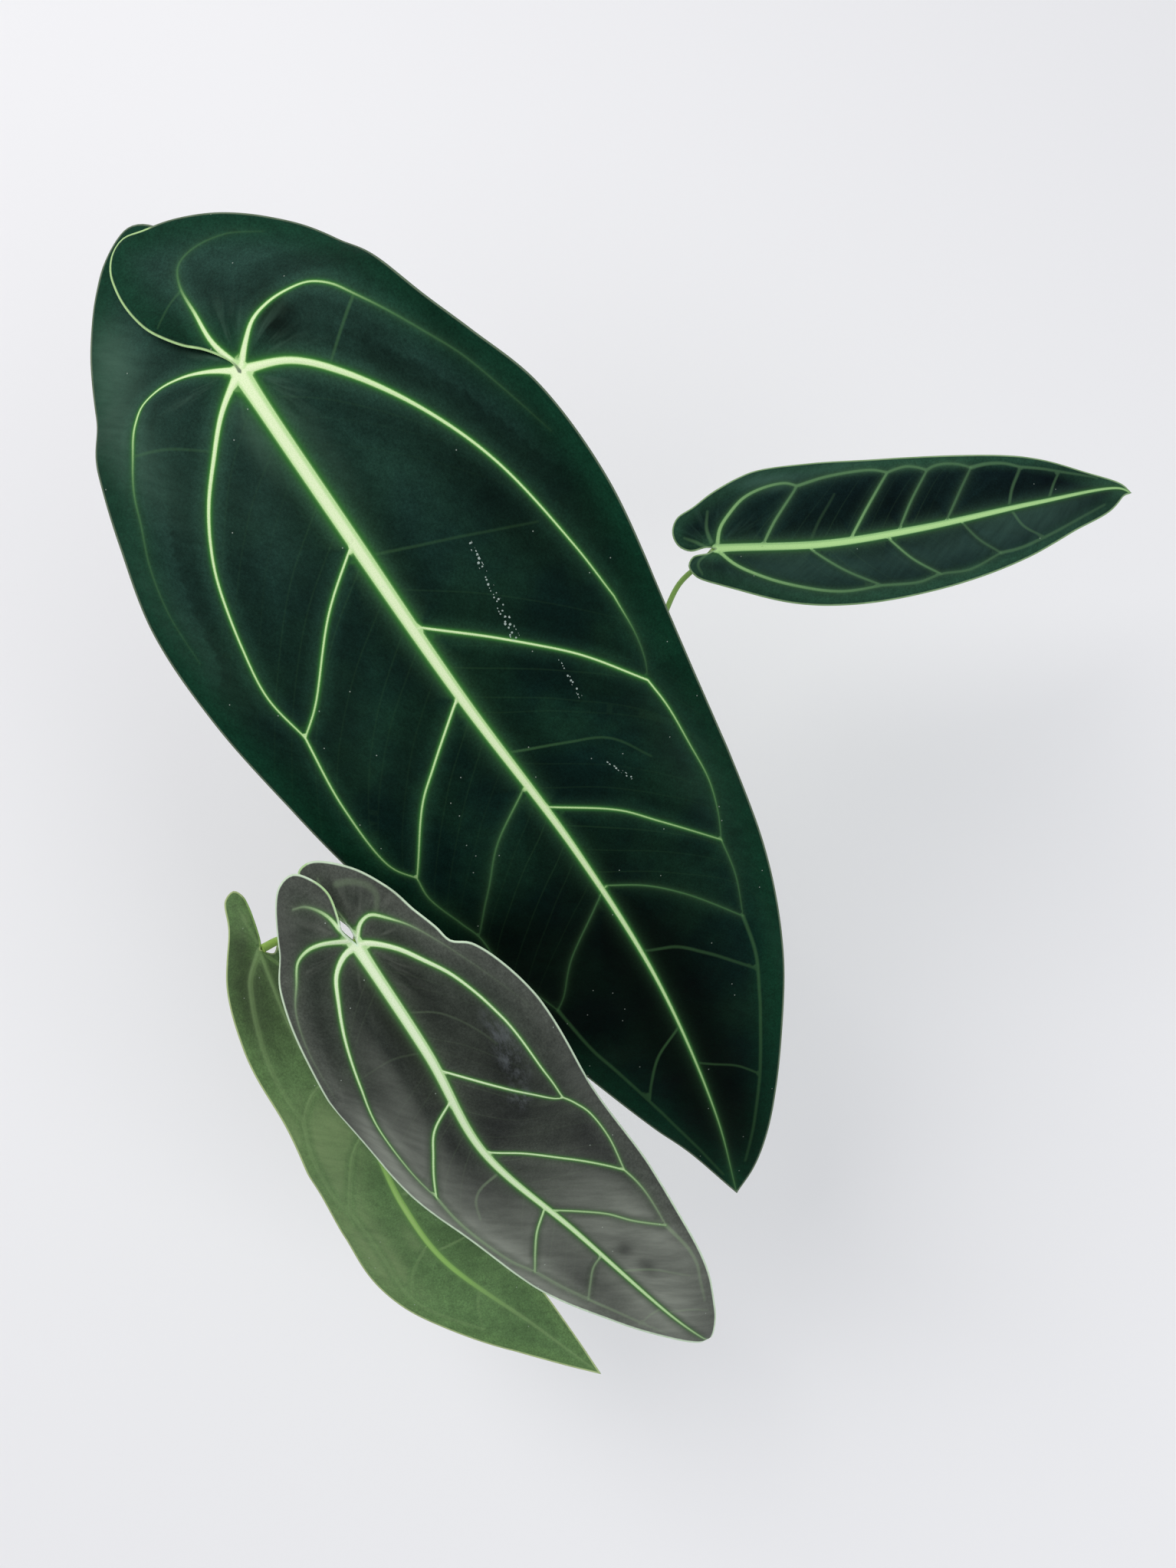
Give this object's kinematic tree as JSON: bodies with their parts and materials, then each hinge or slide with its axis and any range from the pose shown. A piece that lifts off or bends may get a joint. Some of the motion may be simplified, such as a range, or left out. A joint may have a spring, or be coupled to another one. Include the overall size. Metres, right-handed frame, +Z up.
{
  "type": "queen anthurium",
  "caption": "Queen anthurium with long drooping velvet leaves, pale veins and thin stalks on a short stem, growing in a plain tapered plastic pot.",
  "frame": {"origin": "middle of the pot's underside, on the surface that the pot stands on", "axes": "+Z up; +X to the right and +Y to the top of the picture, which looks down on the plant"},
  "size_m": [0.5364, 0.5602, 0.4915],
  "materials": {
    "pot_plastic": "matte charcoal nursery-pot plastic",
    "bark_mix": "loose orchid bark and perlite, damp",
    "stem_bark": "brown ringed stem with short roots",
    "petiole_green": "smooth yellow-green stalk",
    "leaf_large": "deep green velvet with pale yellow-green veins",
    "leaf_side": "dark blue-green velvet with soft green veins",
    "leaf_upper": "grey-green velvet sheen with pale green veins",
    "leaf_lower": "mid-green satin, yellowish edge"
  },
  "bodies": {
    "root": {"pot": "pot_plastic", "potting_mix": "bark_mix", "stem": "stem_bark", "petiole_large": "petiole_green", "petiole_side": "petiole_green", "petiole_upper": "petiole_green", "petiole_lower": "petiole_green", "blade_large": "leaf_large", "blade_side": "leaf_side", "blade_upper": "leaf_upper", "blade_lower": "leaf_lower"}
  },
  "joints": []
}
